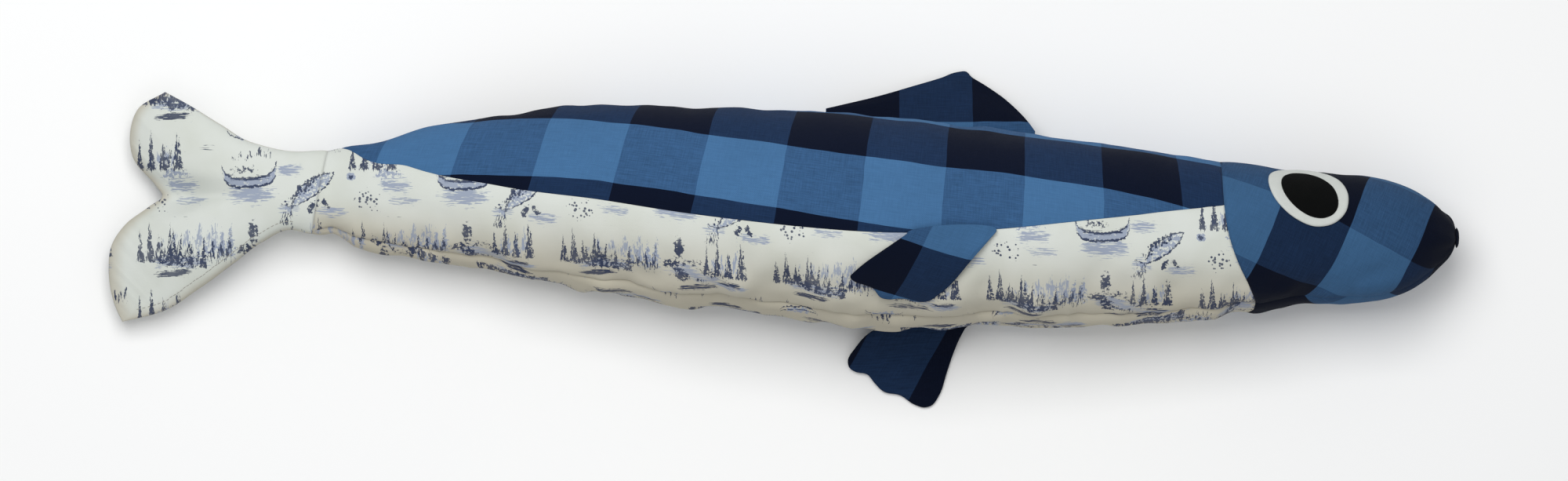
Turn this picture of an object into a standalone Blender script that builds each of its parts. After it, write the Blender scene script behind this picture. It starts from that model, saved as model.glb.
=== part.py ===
"""A stuffed fabric fish, the kind laid along a door sill to stop draughts.

It lies on its left flank, in metres: +X runs to the head, +Y is the way the
back faces, and +Z is up. The origin is on the floor, under the middle of its
bounding box. Two back panels and two belly panels are sewn to two head panels
in front and to a flat, forked, padded tail behind. Fins of two plies each are
caught in the seams, and each side of the head has a felt eye.
"""
import bmesh
import bpy
import numpy as np
from mathutils import Vector

# ---- driving dimensions, metres and degrees -------------------------------
BODY_LENGTH = 0.7500      # from the tail seam to the nose
BODY_HEIGHT = 0.1425      # back to belly, at the deepest
BODY_THICKNESS = 0.1240   # flank to flank, at the fattest
TAIL_LENGTH = 0.1480      # from the tail seam to the lower lobe's rear
TAIL_FLARE_UP = 0.0385    # the upper tip above the seam's upper end
TAIL_FLARE_DOWN = 0.0560  # the lower tip below the seam's lower end
TAIL_SEAM_X = -0.3015     # where the tail is sewn on
ROLL = np.radians(25.0)   # how far the belly has rolled up towards the sky
CLOTH = 0.0012            # one panel with its turned-in seam allowance
FELT = 0.0012             # one felt oval
GAP = 0.0004              # left between two pieces that touch
SEAM_GAP = 0.0008         # left between two panels at a seam
FACET_ROOM = 0.0012       # how far a flat facet may cut inside a round flank
TAIL_FILLING_SHY = 0.04   # share by which the filling stops short of the tail's rim
MIDDLE_Y = -0.0002        # the body's place across the bounding box

NOSE_X = TAIL_SEAM_X + BODY_LENGTH
HEAD_LENGTH = 0.1580      # from the head seam at the back to the nose
HEAD_SEAM_X = NOSE_X - HEAD_LENGTH
HEAD_SEAM_SWEEP = 0.0225  # how much further forward the same seam meets the belly
HEAD_SEAM_CURVE = 5.0
NOSE_START = 0.90         # share of the length where the nose starts to round
NOSE_POWER = 0.52         # 0.5 is an ellipse; more is more pointed

TAIL_BEND = np.radians(40.0)   # how far the tail folds at its seam, either way
TAIL_REST_DROP = 0.0140   # the tail's tips hang this far below its seam

FIN_STANDOFF = 0.0026     # the line a fin swings about, above the cloth
DORSAL_ROOT = (0.0280, 0.1680)
DORSAL_REACH = 0.0485
DORSAL_DROOP = np.radians(30.0)
PECTORAL_ROOT = (0.0810, 0.1400)
PECTORAL_REACH_RIGHT = 0.0450
PECTORAL_REACH_LEFT = 0.0640
PECTORAL_LANDING = 0.0340     # the left fin reaches the floor this far out

EYE_TO_NOSE = 0.1009      # from the eye's middle to the nose
EYE_X = NOSE_X - EYE_TO_NOSE
EYE_TURN = np.radians(70.6)    # from the back seam round the flank
EYE_TILT = np.radians(-43.0)
WHITE_RADII = (0.0288, 0.0236)
PUPIL_RADII = (0.0213, 0.0156)
PUPIL_SHIFT = (0.0008, -0.0026)

# Sections of the body from the tail seam (0) to the nose (1): place, rise of the middle
# line and half height as shares of the height, half thickness and lift of the middle line
# above the floor as shares of the thickness.
BODY_SECTIONS = np.array([
    (0.000, 0.227, 0.200, 0.145, 0.260),
    (0.083, 0.221, 0.302, 0.242, 0.306),
    (0.221, 0.208, 0.424, 0.379, 0.366),
    (0.344, 0.152, 0.470, 0.460, 0.420),
    (0.479, 0.089, 0.500, 0.500, 0.456),
    (0.587, 0.051, 0.469, 0.484, 0.448),
    (0.692, 0.035, 0.420, 0.452, 0.428),
    (0.796, 0.015, 0.363, 0.395, 0.408),
    (0.900, 0.010, 0.304, 0.331, 0.396),
    (1.000, 0.014, 0.281, 0.306, 0.400),
])

# Where the seam between back and belly runs: place along the body, and degrees round
# the flank from the back seam.
SIDE_SEAM = np.array([
    (0.000, 12.0), (0.020, 57.0), (0.070, 89.0), (0.150, 109.0), (0.250, 117.0),
    (0.400, 121.0), (0.500, 120.0), (0.620, 112.0), (0.720, 101.0), (0.800, 88.0),
])

# The tail's outline: place behind its seam, as a share of its length, and the share of
# its flare (upper and lower edge) or of the way from tip to tip (rear edge).
TAIL_TOP = np.array([(0.00, 0.00), (0.15, -0.03), (0.33, 0.10), (0.50, 0.44),
                     (0.65, 0.79), (0.75, 1.00)])
TAIL_BOTTOM = np.array([(0.00, 0.00), (0.12, -0.06), (0.27, 0.08), (0.42, 0.32),
                        (0.60, 0.63), (0.77, 0.89), (0.94, 1.00)])
TAIL_REAR = np.array([(0.750, 0.00), (0.875, 0.08), (0.905, 0.17), (0.895, 0.28),
                      (0.790, 0.41), (0.762, 0.45), (0.823, 0.50), (0.930, 0.58),
                      (0.985, 0.66), (1.000, 0.80), (0.965, 0.95), (0.940, 1.00)])

# Free edges of the fins, from the tail end of the root to its head end: shares of the
# root's length, and of the fin's reach.
DORSAL_EDGE = np.array([(0.00, 0.15), (0.33, 0.55), (0.66, 1.00), (0.72, 0.88),
                        (0.81, 0.72), (0.88, 0.56), (0.95, 0.34), (1.00, 0.15)])
PECTORAL_EDGE_RIGHT = np.array([(0.00, 0.03), (-0.28, 0.24), (-0.62, 0.60), (-0.52, 0.70),
                                (-0.35, 0.82), (-0.20, 0.96), (0.05, 0.96), (0.22, 1.00),
                                (0.44, 0.78), (0.72, 0.38), (1.00, 0.03)])
PECTORAL_EDGE_LEFT = np.array([(0.00, 0.03), (-0.44, 0.21), (-0.65, 0.47), (-0.43, 0.62),
                               (-0.24, 0.81), (-0.05, 0.86), (0.21, 1.00), (0.30, 0.98),
                               (0.43, 0.79), (0.55, 0.52), (0.76, 0.28), (1.00, 0.03)])

COLOURS = {
    "check": (0.045, 0.140, 0.290),
    "toile": (0.560, 0.590, 0.530),
    "filling": (0.800, 0.800, 0.780),
    "white_felt": (0.600, 0.620, 0.580),
    "black_felt": (0.006, 0.006, 0.008),
}

for old in list(bpy.data.objects):
    bpy.data.objects.remove(old)
fish = bpy.data.collections.new("stuffed_fabric_fish")
bpy.context.scene.collection.children.link(fish)


# ---- curves and sections --------------------------------------------------
def smooth(table, column, place):
    """A cubic through a table's rows: each row's slope is that of its two neighbours."""
    known = table[:, 0]
    value = table[:, column]
    slope = np.gradient(value, known)
    place = np.clip(place, known[0], known[-1])
    row = np.clip(np.searchsorted(known, place) - 1, 0, len(known) - 2)
    width = known[row + 1] - known[row]
    t = (place - known[row]) / width
    start = (1 + 2 * t) * (1 - t) ** 2 * value[row] + t * (1 - t) ** 2 * width * slope[row]
    end = t ** 2 * (3 - 2 * t) * value[row + 1] - t ** 2 * (1 - t) * width * slope[row + 1]
    return start + end


def along(outline, share):
    """The point at a share of the length of an open outline, on straight runs."""
    run = np.hypot(*np.diff(outline, axis=0).T)
    reached = np.concatenate(([0.0], np.cumsum(run))) / run.sum()
    return np.interp(share, reached, outline[:, 0]), np.interp(share, reached, outline[:, 1])


def section(x):
    """The body's section at x: middle y, middle z, half height and half thickness."""
    place = (x - TAIL_SEAM_X) / BODY_LENGTH
    past = np.clip((place - NOSE_START) / (1 - NOSE_START), 0, 1)
    rounding = (1 - past ** 2) ** NOSE_POWER
    middle_y = MIDDLE_Y + BODY_HEIGHT * smooth(BODY_SECTIONS, 1, place)
    half_high = BODY_HEIGHT * smooth(BODY_SECTIONS, 2, place) * rounding
    half_thick = BODY_THICKNESS * smooth(BODY_SECTIONS, 3, place) * rounding
    middle_z = BODY_THICKNESS * smooth(BODY_SECTIONS, 4, place)
    return middle_y, middle_z, half_high, half_thick


def body_point(x, turn, side=0, proud=0.0):
    """A point on the body: turn runs from the back seam (0) over the right flank to the
    belly seam (pi). The underside is pressed flat on the floor. Side 1 or -1 moves the
    point half a seam gap off the middle plane, and proud lifts it off the skin."""
    middle_y, middle_z, half_high, half_thick = section(x)
    angle = turn - ROLL
    y = middle_y + (half_high + proud) * np.cos(angle) + side * SEAM_GAP / 2 * np.sin(ROLL)
    z = middle_z + (half_thick + proud) * np.sin(angle) + side * SEAM_GAP / 2 * np.cos(ROLL)
    return x + 0 * turn, y, np.maximum(z, 0.0)


def side_seam(x):
    """How far round the flank the seam between back and belly lies at x."""
    return np.radians(smooth(SIDE_SEAM, 1, (x - TAIL_SEAM_X) / BODY_LENGTH))


def head_seam(turn):
    """Where the head seam lies along the body, further forward at the belly."""
    return HEAD_SEAM_X + HEAD_SEAM_SWEEP * ((1 - np.cos(turn)) / 2) ** HEAD_SEAM_CURVE


# ---- making a piece -------------------------------------------------------
def finish_piece(name, obj, colour, roughness=0.9):
    """Name a piece, file it in the fish's collection and give it its material."""
    obj.name = name
    obj.data.name = name
    material = bpy.data.materials.new(name)
    material.use_nodes = True
    shader = material.node_tree.nodes["Principled BSDF"]
    shader.inputs["Base Color"].default_value = (*COLOURS[colour], 1.0)
    shader.inputs["Roughness"].default_value = roughness
    shader.inputs["Metallic"].default_value = 0.0
    obj.data.materials.append(material)
    obj.data.shade_smooth()
    for holder in list(obj.users_collection):
        holder.objects.unlink(obj)
    fish.objects.link(obj)
    return obj


def mapped_grid(place, columns, rows):
    """A grid primitive whose unit square (u, v) is carried onto place(u, v), with the
    points that fall together, at a pole or a closing line, made one."""
    bpy.ops.mesh.primitive_grid_add(x_subdivisions=columns, y_subdivisions=rows, size=1)
    obj = bpy.context.object
    flat = np.empty(len(obj.data.vertices) * 3)
    obj.data.vertices.foreach_get("co", flat)
    u, v = flat.reshape(-1, 3)[:, :2].T + 0.5
    obj.data.vertices.foreach_set("co", np.stack(place(u, v), axis=1).ravel())
    return obj


def face_out(obj, middle):
    """Weld what falls together, and turn the faces so that they look away from middle."""
    mesh = bmesh.new()
    mesh.from_mesh(obj.data)
    bmesh.ops.remove_doubles(mesh, verts=mesh.verts, dist=0.00001)
    bmesh.ops.recalc_face_normals(mesh, faces=mesh.faces)
    outward = sum(face.normal.dot(face.calc_center_median() - middle) * face.calc_area()
                  for face in mesh.faces)
    if outward < 0:
        bmesh.ops.reverse_faces(mesh, faces=mesh.faces)
    mesh.to_mesh(obj.data)
    mesh.free()


def sewn_panel(name, place, columns, rows, colour, middle, thickness=CLOTH):
    """A panel of cloth or felt: place gives its outer face, and it is thick inwards."""
    obj = mapped_grid(place, columns, rows)
    face_out(obj, middle)
    wall = obj.modifiers.new("cloth", "SOLIDIFY")
    wall.thickness = thickness
    wall.offset = -1.0
    return finish_piece(name, obj, colour)


def stuffing(name, place, columns, rows, middle, inset):
    """A closed body of filling, drawn in by inset from the outer face of the panels."""
    obj = mapped_grid(place, columns, rows)
    face_out(obj, middle)
    shrink = obj.modifiers.new("room_for_the_cloth", "DISPLACE")
    shrink.strength = -inset
    shrink.mid_level = 0.0
    return finish_piece(name, obj, "filling")


# ---- body and head --------------------------------------------------------
tail_y, tail_z, tail_half_high, tail_half_thick = section(np.array(TAIL_SEAM_X))
TRUNK_START = TAIL_SEAM_X + tail_half_thick * np.sin(TAIL_BEND) + GAP
FILLING_START = TAIL_SEAM_X + tail_half_thick + GAP
STUFFING_INSET = CLOTH + GAP + FACET_ROOM
BODY_MIDDLE = Vector((0.05, MIDDLE_Y, BODY_THICKNESS / 2))


def crowded(v):
    """The same share, with the rows closer together at both ends, near the seams."""
    return v - 0.06 * np.sin(2 * np.pi * v)


def trunk_place(side, start_turn, end_turn):
    """The sewn panel between two seams, each given as a function of x."""
    def place(u, v):
        x = TRUNK_START + u * (HEAD_SEAM_X - TRUNK_START)
        for _ in range(3):
            turn = start_turn(x) + crowded(v) * (end_turn(x) - start_turn(x))
            x = TRUNK_START + u * (head_seam(turn) - SEAM_GAP / 2 - TRUNK_START)
        return body_point(x, side * turn, side)
    return place


def half_gap_turn(x):
    """Half a seam gap, as an angle round the body."""
    return SEAM_GAP / 2 / section(x)[2]


def back_edge(x):
    return side_seam(x) - half_gap_turn(x)


def belly_edge(x):
    return side_seam(x) + half_gap_turn(x)


def head_place(side):
    """Half of the head, from the head seam forward, closing to a point at the nose."""
    def place(u, v):
        turn = np.pi * crowded(v)
        start = head_seam(turn) + SEAM_GAP / 2
        return body_point(start + (NOSE_X - start) * np.sin(np.pi / 2 * u), side * turn, side)
    return place


def body_filling_place(columns):
    """A tube along the body whose first ring is filled flat and whose last is the nose."""
    def place(u, v):
        ring = np.minimum(u * columns, 1.0)
        share = np.maximum(u * columns - 1.0, 0.0) / (columns - 1.0)
        share = 0.6 * share + 0.4 * np.sin(np.pi / 2 * share)
        x = FILLING_START + (NOSE_X - FILLING_START) * share
        x, y, z = body_point(x, 2 * np.pi * v)
        middle_y, middle_z = section(x)[:2]
        return x, middle_y + ring * (y - middle_y), middle_z + ring * (z - middle_z)
    return place


for side, flank in ((1, "right"), (-1, "left")):
    sewn_panel(f"back_panel_{flank}", trunk_place(side, np.zeros_like, back_edge),
               38, 10, "check", BODY_MIDDLE)
    sewn_panel(f"belly_panel_{flank}", trunk_place(side, belly_edge, lambda x: np.pi + 0 * x),
               38, 9, "toile", BODY_MIDDLE)
    sewn_panel(f"head_panel_{flank}", head_place(side), 12, 12, "check",
               Vector((HEAD_SEAM_X, MIDDLE_Y, BODY_THICKNESS / 2)))
stuffing("body_filling", body_filling_place(32), 32, 20, BODY_MIDDLE, STUFFING_INSET)


# ---- tail -----------------------------------------------------------------
def tail_outline(outline, share, base, flare):
    """A point of the tail's upper or lower edge, from the seam (0) to the tip (1)."""
    place, rise = along(outline, share)
    return TAIL_SEAM_X - TAIL_LENGTH * place, base + flare * rise


def tail_point(u, v, side, edge):
    """The tail's face: u from its seam to its rear edge, v from its upper to its lower
    edge, blended from the four edges. It is thickest in the middle and flat at the rim."""
    top_x, top_y = tail_outline(TAIL_TOP, u, tail_half_high, TAIL_FLARE_UP)
    low_x, low_y = tail_outline(TAIL_BOTTOM, u, -tail_half_high, -TAIL_FLARE_DOWN)
    across = (1 - np.cos(np.pi * v)) / 2
    seam_y = tail_half_high * np.cos(np.pi * v)
    tip_to_tip = 2 * tail_half_high + TAIL_FLARE_UP + TAIL_FLARE_DOWN
    place, fall = along(TAIL_REAR, across)
    rear_x = TAIL_SEAM_X - TAIL_LENGTH * place
    rear_y = tail_half_high + TAIL_FLARE_UP - tip_to_tip * fall
    ends_x = TAIL_SEAM_X - TAIL_LENGTH * u * ((1 - across) * TAIL_TOP[-1, 0]
                                              + across * TAIL_BOTTOM[-1, 0])
    ends_y = ((1 - u) * seam_y + u * ((1 - across) * (tail_half_high + TAIL_FLARE_UP)
                                      - across * (tail_half_high + TAIL_FLARE_DOWN)))
    x = (1 - across) * top_x + across * low_x + (1 - u) * TAIL_SEAM_X + u * rear_x - ends_x
    y = (1 - across) * top_y + across * low_y + (1 - u) * seam_y + u * rear_y - ends_y
    half = edge + tail_half_thick * np.sin(np.pi * v) * np.sqrt(1 - u ** 2)
    return x, tail_y + y, tail_z - TAIL_REST_DROP * u ** 1.5 + side * half


def tail_filling_place(u, v):
    """The tail's filling: both faces, and a round end that turns in the body's open end."""
    nose_share = 0.2
    side = np.where(v < 0.5, 1.0, -1.0)
    across = np.where(v < 0.5, 2 * v, 2 - 2 * v)
    back = np.clip((u - nose_share) / (1 - nose_share), 0, 1)
    x, y, z = tail_point(back, across, side, 0.0)
    swing = np.pi / 2 * np.clip(1 - u / nose_share, 0, 1)
    half = tail_half_thick * np.sin(np.pi * across)
    x = x + half * np.sin(swing) + TAIL_FILLING_SHY * back * (TAIL_SEAM_X - x)
    y = y + TAIL_FILLING_SHY * back * (tail_y - y)
    z = np.where(swing > 0, tail_z + side * half * np.cos(swing), z)
    return x, y, z


TAIL_MIDDLE = Vector((TAIL_SEAM_X - TAIL_LENGTH / 2, tail_y, tail_z - TAIL_REST_DROP / 2))
for side, flank in ((1, "right"), (-1, "left")):
    sewn_panel(f"tail_panel_{flank}", lambda u, v: tail_point(u, v, side, CLOTH),
               14, 16, "toile", TAIL_MIDDLE)
stuffing("tail_filling", tail_filling_place, 20, 24, TAIL_MIDDLE, STUFFING_INSET)


# ---- fins -----------------------------------------------------------------
def fin_outline(edge, root, reach, u, v):
    """How far along the root and how far out a fin's point (u, v) lies."""
    out_x, out = along(edge, u)
    length = root[1] - root[0]
    return root[0] + length * ((1 - v) * u + v * out_x), reach * v * out


def root_line(root, turn):
    """The straight line a fin swings about, from its tail end to its head end."""
    ends = np.array(root)
    return np.stack(body_point(ends, turn(ends), 0, FIN_STANDOFF), axis=1)


def level(ends, x):
    """The y and z at x of a fin's root line, carried straight on past its ends."""
    slope = (ends[1] - ends[0]) / (ends[1, 0] - ends[0, 0])
    return ends[0, 1] + slope[1] * (x - ends[0, 0]), ends[0, 2] + slope[2] * (x - ends[0, 0])


def dorsal_place(face):
    """A flat ply that droops from the back seam; face is its offset from the middle."""
    ends = root_line(DORSAL_ROOT, lambda x: 0 * x)

    def place(u, v):
        x, out = fin_outline(DORSAL_EDGE, DORSAL_ROOT, DORSAL_REACH, u, v)
        y, z = level(ends, x)
        y = y + out * np.cos(DORSAL_DROOP) + face * np.sin(DORSAL_DROOP)
        return x, y, z - out * np.sin(DORSAL_DROOP) + face * np.cos(DORSAL_DROOP)
    return place


def pectoral_right_place(face):
    """A ply that lies on the belly and follows its curve."""
    def place(u, v):
        x, out = fin_outline(PECTORAL_EDGE_RIGHT, PECTORAL_ROOT, PECTORAL_REACH_RIGHT, u, v)
        half_high, half_thick = section(x)[2:]
        turn = side_seam(x) + out / ((half_high + half_thick) / 2)
        return body_point(x, turn, 0, FIN_STANDOFF + face)
    return place


def pectoral_left_place(face):
    """A ply that comes out from under the body and slopes down to lie on the floor."""
    ends = root_line(PECTORAL_ROOT, lambda x: -side_seam(x))

    def place(u, v):
        x, out = fin_outline(PECTORAL_EDGE_LEFT, PECTORAL_ROOT, PECTORAL_REACH_LEFT, u, v)
        y, z = level(ends, x)
        laid = CLOTH + GAP
        fall = z - laid
        share = np.clip(out / PECTORAL_LANDING, 0, 1)
        slope = fall * 6 * share * (1 - share) / PECTORAL_LANDING
        tilt = np.arctan(slope)
        z = laid + fall * (1 - share ** 2 * (3 - 2 * share))
        return x, y - out - face * np.sin(tilt), z + face * np.cos(tilt)
    return place


PLY_FACE = CLOTH + GAP / 2
ABOVE = Vector((0.1, 0.0, 1.0))
BELOW = Vector((0.1, 0.0, -1.0))
for name, place, columns, rows in (("dorsal_fin", dorsal_place, 14, 5),
                                   ("pectoral_fin_right", pectoral_right_place, 12, 6),
                                   ("pectoral_fin_left", pectoral_left_place, 12, 8)):
    sewn_panel(f"{name}_upper_ply", place(PLY_FACE), columns, rows, "check", BELOW)
    sewn_panel(f"{name}_lower_ply", place(-PLY_FACE), columns, rows, "check", ABOVE)


# ---- eyes -----------------------------------------------------------------
def felt_place(side, radii, shift, proud):
    """An oval of felt that follows the side of the head; the square (u, v) is carried
    onto a disc by shortening each coordinate by the other."""
    def place(u, v):
        across = 2 * u - 1
        up = 2 * v - 1
        long_way = radii[0] * across * np.sqrt(1 - up ** 2 / 2)
        short_way = radii[1] * up * np.sqrt(1 - across ** 2 / 2)
        x = EYE_X + shift[0] + long_way * np.cos(EYE_TILT) - short_way * np.sin(EYE_TILT)
        rise = shift[1] + long_way * np.sin(EYE_TILT) + short_way * np.cos(EYE_TILT)
        half_high, half_thick = section(x)[2:]
        turn = EYE_TURN - rise / ((half_high + half_thick) / 2)
        return body_point(x, side * turn, side, proud)
    return place


HEAD_MIDDLE = Vector((EYE_X, MIDDLE_Y, BODY_THICKNESS / 2))
for side, flank in ((1, "right"), (-1, "left")):
    sewn_panel(f"eye_white_{flank}", felt_place(side, WHITE_RADII, (0.0, 0.0), 2 * GAP + FELT),
               8, 8, "white_felt", HEAD_MIDDLE, FELT)
    sewn_panel(f"pupil_{flank}", felt_place(side, PUPIL_RADII, PUPIL_SHIFT, 3 * GAP + 2 * FELT),
               8, 8, "black_felt", HEAD_MIDDLE, FELT)
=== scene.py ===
"""A stuffed fabric fish, laid on its left flank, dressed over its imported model."""
from math import pi

import bmesh
import bpy
import numpy as np
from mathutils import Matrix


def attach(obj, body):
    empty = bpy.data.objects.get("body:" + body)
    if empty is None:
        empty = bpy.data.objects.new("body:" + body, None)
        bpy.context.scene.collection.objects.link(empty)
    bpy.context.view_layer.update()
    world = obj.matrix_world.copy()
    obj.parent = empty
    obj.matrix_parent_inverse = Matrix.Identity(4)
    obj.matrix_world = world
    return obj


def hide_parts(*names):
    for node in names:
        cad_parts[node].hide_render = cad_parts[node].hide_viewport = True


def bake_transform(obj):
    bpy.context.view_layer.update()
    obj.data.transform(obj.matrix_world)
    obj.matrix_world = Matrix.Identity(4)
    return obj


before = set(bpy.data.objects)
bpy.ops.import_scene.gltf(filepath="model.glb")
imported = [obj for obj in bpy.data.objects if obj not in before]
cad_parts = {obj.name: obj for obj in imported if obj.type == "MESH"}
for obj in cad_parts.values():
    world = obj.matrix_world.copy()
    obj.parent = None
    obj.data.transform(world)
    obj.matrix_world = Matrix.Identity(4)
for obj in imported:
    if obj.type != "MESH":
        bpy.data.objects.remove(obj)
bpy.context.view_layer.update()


# ---- Back panels ----------------------------------------------------------
# Two long panels of buffalo check cotton, one on each flank, that run to a point at the
# tail. They are sewn right sides together along the back, turned and stuffed, so the
# cloth dips and puckers at each seam and swells between them.
BODY_LENGTH, BODY_HEIGHT, BODY_THICKNESS = 0.7500, 0.1425, 0.1240
TAIL_SEAM_X, MIDDLE_Y = -0.3015, -0.0002
NOSE_X = TAIL_SEAM_X + BODY_LENGTH
ROLL = np.radians(25.0)
NOSE_START, NOSE_POWER = 0.90, 0.52
HEAD_SEAM_X, HEAD_SEAM_SWEEP, HEAD_SEAM_CURVE = 0.2905, 0.0225, 5.0
TAIL_SEAM_BACK, TAIL_SEAM_SLANT, TAIL_SEAM_REACH = 0.0034, 0.0105, 0.014
COTTON, TAIL_SEAM_DIP = 0.0005, 0.0009
VALLEY_REACH, PUCKER_REACH, NOSE_GATHER_REACH, PRESSED = 0.0032, 0.0100, 0.012, 0.0012

# Place along the body, rise and half height (shares of the height), half thickness and
# lift off the floor (shares of the thickness).
BODY_SECTIONS = np.array([
    (0.0, 0.227, 0.2, 0.145, 0.26), (0.083, 0.221, 0.302, 0.242, 0.306),
    (0.221, 0.208, 0.424, 0.379, 0.366), (0.344, 0.152, 0.47, 0.46, 0.42),
    (0.479, 0.089, 0.5, 0.5, 0.456), (0.587, 0.051, 0.469, 0.484, 0.448),
    (0.692, 0.035, 0.42, 0.452, 0.428), (0.796, 0.015, 0.363, 0.395, 0.408),
    (0.9, 0.01, 0.304, 0.331, 0.396), (1.0, 0.014, 0.281, 0.306, 0.4)])
# Place along the body, and degrees round the flank from the back seam.
SIDE_SEAM = np.array([
    (0.0, 6.0), (0.02, 57.0), (0.07, 89.0), (0.15, 109.0), (0.25, 117.0),
    (0.4, 121.0), (0.5, 120.0), (0.62, 112.0), (0.72, 101.0), (0.8, 88.0)])


def smooth(table, column, place):
    """A cubic through a table's rows; each row's slope is that of its two neighbours."""
    known, value = table[:, 0], table[:, column]
    slope = np.gradient(value, known)
    place = np.clip(place, known[0], known[-1])
    row = np.clip(np.searchsorted(known, place) - 1, 0, len(known) - 2)
    width = known[row + 1] - known[row]
    t = (place - known[row]) / width
    start = (1 + 2 * t) * (1 - t) ** 2 * value[row] + t * (1 - t) ** 2 * width * slope[row]
    end = t ** 2 * (3 - 2 * t) * value[row + 1] - t ** 2 * (1 - t) * width * slope[row + 1]
    return start + end


def ease(low, high, value):
    """0 below low, 1 above high, and a smooth S between."""
    t = np.clip((value - low) / (high - low), 0, 1)
    return t * t * (3 - 2 * t)


def lumps(points, size, seed):
    """Smooth noise from -1 to 1 in space: random heights on a lattice of the given
    spacing, blended between the eight corners round each point."""
    heights = np.random.default_rng(seed).uniform(-1, 1, (16, 16, 16))
    cell = np.stack([axis / size + 100.0 for axis in points])
    low = np.floor(cell).astype(int)
    t = cell - low
    t = t * t * (3 - 2 * t)
    total = 0.0
    for i in (0, 1):
        for j in (0, 1):
            for k in (0, 1):
                weight = abs(1 - i - t[0]) * abs(1 - j - t[1]) * abs(1 - k - t[2])
                total = total + weight * heights[(low[0] + i) % 16, (low[1] + j) % 16,
                                                 (low[2] + k) % 16]
    return total


def section(x):
    """The body's section at x: middle y, middle z, half height and half thickness."""
    place = (x - TAIL_SEAM_X) / BODY_LENGTH
    past = np.clip((place - NOSE_START) / (1 - NOSE_START), 0, 1)
    rounding = (1 - past ** 2) ** NOSE_POWER
    return (MIDDLE_Y + BODY_HEIGHT * smooth(BODY_SECTIONS, 1, place),
            BODY_THICKNESS * smooth(BODY_SECTIONS, 4, place),
            BODY_HEIGHT * smooth(BODY_SECTIONS, 2, place) * rounding,
            BODY_THICKNESS * smooth(BODY_SECTIONS, 3, place) * rounding)


def side_seam(x):
    """The turn from the back seam at which the back and belly panels meet, at x."""
    return np.radians(smooth(SIDE_SEAM, 1, (x - TAIL_SEAM_X) / BODY_LENGTH))


def tail_seam(angle):
    """The tail seam's x at an angle round from straight up: it slants back below."""
    return TAIL_SEAM_X - TAIL_SEAM_BACK - TAIL_SEAM_SLANT * (1 - np.cos(angle)) / 2


def head_seam(turn):
    """The head seam's x at a turn: straight over the back, swept forwards at the chin."""
    return HEAD_SEAM_X + HEAD_SEAM_SWEEP * ((1 - np.cos(turn)) / 2) ** HEAD_SEAM_CURVE


def gathers(along, pitch, seed):
    """Uneven puckers along a seam, 0 to 1: smooth noise whose hollows are sharpened."""
    zero = 0 * along
    wave = lumps((along, zero + 0.3, zero), pitch, seed)
    wave = wave + 0.5 * lumps((along, zero + 0.7, zero), pitch * 0.45, seed + 1)
    return np.abs(wave) ** 0.8


def seam_dip(distance, along, depth, seed, pitch=0.011, pucker=0.0011):
    """How far the cloth is drawn in beside a seam: a sharp valley that dies away within
    a few millimetres, and puckers that run a little further from it."""
    valley = depth * np.exp(-distance / VALLEY_REACH)
    return valley + pucker * gathers(along, pitch, seed) * np.exp(-distance / PUCKER_REACH)


def skin(x, turn, flank, proud=0.0):
    """A point on the stuffed fish. The base is an ellipse at each x, turned by the roll;
    it is lifted by the filling's lumps and drawn in at the back, belly, side, head and
    tail seams, and its underside is pressed against the floor."""
    x, turn = np.broadcast_arrays(x, turn)
    middle_y, middle_z, half_high, half_thick = section(x)
    angle = flank * turn - ROLL
    girth = (half_high + half_thick) / 2
    base = (x, middle_y + half_high * np.cos(angle), middle_z + half_thick * np.sin(angle))
    under = ease(1.9, 2.8, turn) + 0.6 * ease(1.0, 0.3, turn)
    swell = 0.0010 * lumps(base, 0.055, 3) + 0.0005 * lumps(base, 0.024, 5)
    swell -= 0.0007 * np.abs(lumps(base, 0.038, 8))
    swell += under * (0.0046 * lumps(base, 0.034, 9) + 0.0022 * lumps(base, 0.015, 10))
    trunk = ease(-0.001, 0.001, head_seam(turn) - x)
    side_gap = np.abs(turn - side_seam(x)) * girth
    dip = seam_dip(turn * girth, x, 0.0014, 11)
    dip += (0.35 + 0.65 * trunk) * seam_dip((pi - turn) * girth, x, 0.0022, 13, 0.015, 0.0018)
    dip += trunk * seam_dip(side_gap, x, 0.0009, 17, 0.013, 0.0005)
    dip += seam_dip(np.abs(x - head_seam(turn)), girth * turn, 0.0005, 19, 0.014, 0.0004)
    from_tail = x - tail_seam(angle)
    off_seam = ease(0.0, TAIL_SEAM_REACH, from_tail)
    dip = dip * off_seam + TAIL_SEAM_DIP * np.exp(-np.abs(from_tail) / VALLEY_REACH)
    near_tail = off_seam * np.exp(-np.abs(from_tail) / TAIL_SEAM_REACH)
    dip += 0.0008 * gathers(girth * turn, 0.009, 23) * near_tail
    swell *= off_seam
    nose = NOSE_X - x
    dip += 0.0012 * np.exp(-nose / 0.006) * (1 + np.cos(7 * turn + 0.6))
    swell += 0.0034 * np.exp(-nose / NOSE_GATHER_REACH) * lumps(base, 0.012, 15)
    out = np.clip(swell - dip, -0.4 * girth, 0.9 * girth) + proud
    steep = np.hypot(half_thick * np.cos(angle), half_high * np.sin(angle)) + 1e-9
    y = base[1] + out * half_thick * np.cos(angle) / steep
    z = base[2] + out * half_high * np.sin(angle) / steep
    return x, y, (z + np.sqrt(z * z + PRESSED ** 2)) / 2


def round_from_top(x, turn):
    """The length of cloth from the flank's highest line up to a turn, found by adding
    short chords of the ellipse; it is less than 0 on the belly side of that line."""
    half_high, half_thick = section(x)[2:]
    top = pi / 2 + ROLL
    steps = 24
    total = 0.0
    for step in range(steps):
        angle = top + (turn - top) * (step + 0.5) / steps - ROLL
        total = total + np.hypot(half_high * np.sin(angle), half_thick * np.cos(angle))
    return total * (top - turn) / steps


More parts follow.
